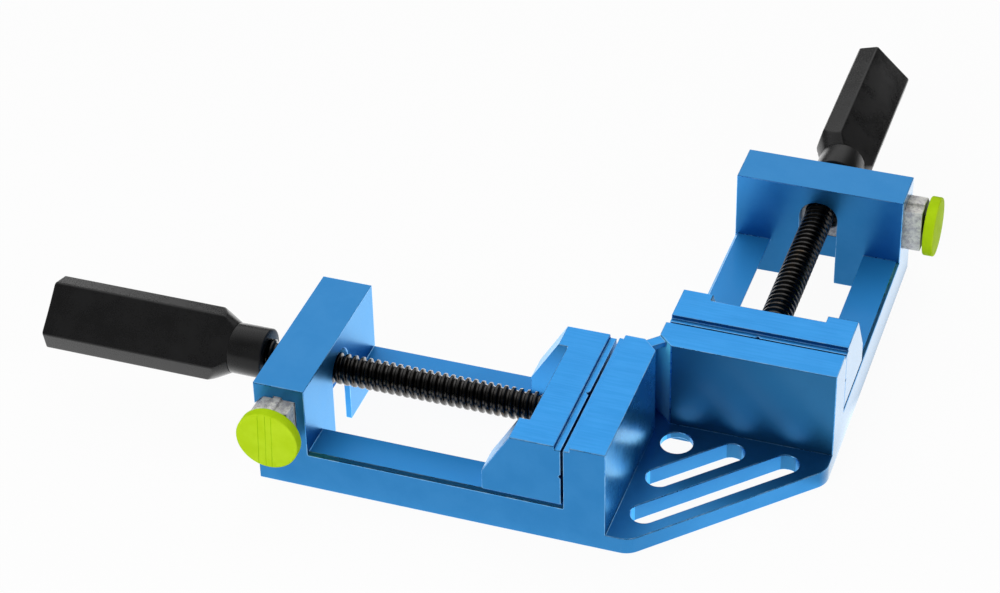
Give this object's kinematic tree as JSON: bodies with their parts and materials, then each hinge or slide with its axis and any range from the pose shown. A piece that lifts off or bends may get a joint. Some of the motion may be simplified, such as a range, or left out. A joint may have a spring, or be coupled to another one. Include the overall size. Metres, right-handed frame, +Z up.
{
  "type": "corner vise",
  "caption": "Right-angle corner vise: hollow blue frame, sliding jaws on rails, lead screws with hexagonal handles, and sprung release blocks with round buttons.",
  "frame": {"origin": "centre of the bounding box, on the base plane the frame rests on", "axes": "+Z up; arm A's screw runs along X with its handle at -X, arm B's along Y with its handle at +Y"},
  "size_m": [0.3152, 0.3152, 0.045],
  "materials": {
    "anodised_blue": "satin anodised",
    "keeper_steel": "plain",
    "bright_steel": "bright",
    "blackened_steel": "blackened, oiled",
    "handle_black": "satin black",
    "cast_zinc": "as cast",
    "stem_black": "black",
    "lime_plastic": "matte"
  },
  "bodies": {
    "base": {"frame": "anodised_blue", "release_spring_a": "bright_steel", "release_spring_b": "bright_steel"},
    "jaw_a": {"moving_jaw_a": "anodised_blue", "keeper_plate_a": "keeper_steel", "keeper_screw_a_1": "bright_steel", "keeper_screw_a_2": "bright_steel", "thrust_pin_a": "bright_steel"},
    "jaw_b": {"moving_jaw_b": "anodised_blue", "keeper_plate_b": "keeper_steel", "keeper_screw_b_1": "bright_steel", "keeper_screw_b_2": "bright_steel", "thrust_pin_b": "bright_steel"},
    "screw_a": {"lead_screw_a": "blackened_steel", "handle_a": "handle_black"},
    "screw_b": {"lead_screw_b": "blackened_steel", "handle_b": "handle_black"},
    "release_a": {"release_block_a": "cast_zinc", "button_stem_a": "stem_black", "button_a": "lime_plastic"},
    "release_b": {"release_block_b": "cast_zinc", "button_stem_b": "stem_black", "button_b": "lime_plastic"}
  },
  "joints": [
    {"name": "jaw_slide_a", "type": "slide", "parent": "base", "child": "jaw_a", "axis": [-1, 0, 0], "range_m": [-0.0006, 0.0678]},
    {"name": "screw_spin_a", "type": "hinge", "parent": "jaw_a", "child": "screw_a", "pos_m": [0.0443, -0.11013, 0.0304], "axis": [-1, 0, 0], "range_deg": [-74, 8140]},
    {"name": "release_slide_a", "type": "slide", "parent": "base", "child": "release_a", "axis": [0, 1, 0], "range_m": [0, 0.0025], "stiffness_N_per_m": 800, "springref_m": -0.004, "deforming": ["release_spring_a"]},
    {"name": "jaw_slide_b", "type": "slide", "parent": "base", "child": "jaw_b", "axis": [0, 1, 0], "range_m": [-0.0006, 0.0678]},
    {"name": "screw_spin_b", "type": "hinge", "parent": "jaw_b", "child": "screw_b", "pos_m": [0.11013, -0.0443, 0.0304], "axis": [0, 1, 0], "range_deg": [-74, 8140]},
    {"name": "release_slide_b", "type": "slide", "parent": "base", "child": "release_b", "axis": [-1, 0, 0], "range_m": [0, 0.0025], "stiffness_N_per_m": 800, "springref_m": -0.004, "deforming": ["release_spring_b"]}
  ],
  "couplings": [
    {"joint": "screw_spin_a", "follows": "jaw_slide_a", "rad_per_m": 2094.4},
    {"joint": "screw_spin_b", "follows": "jaw_slide_b", "rad_per_m": 2094.4}
  ]
}
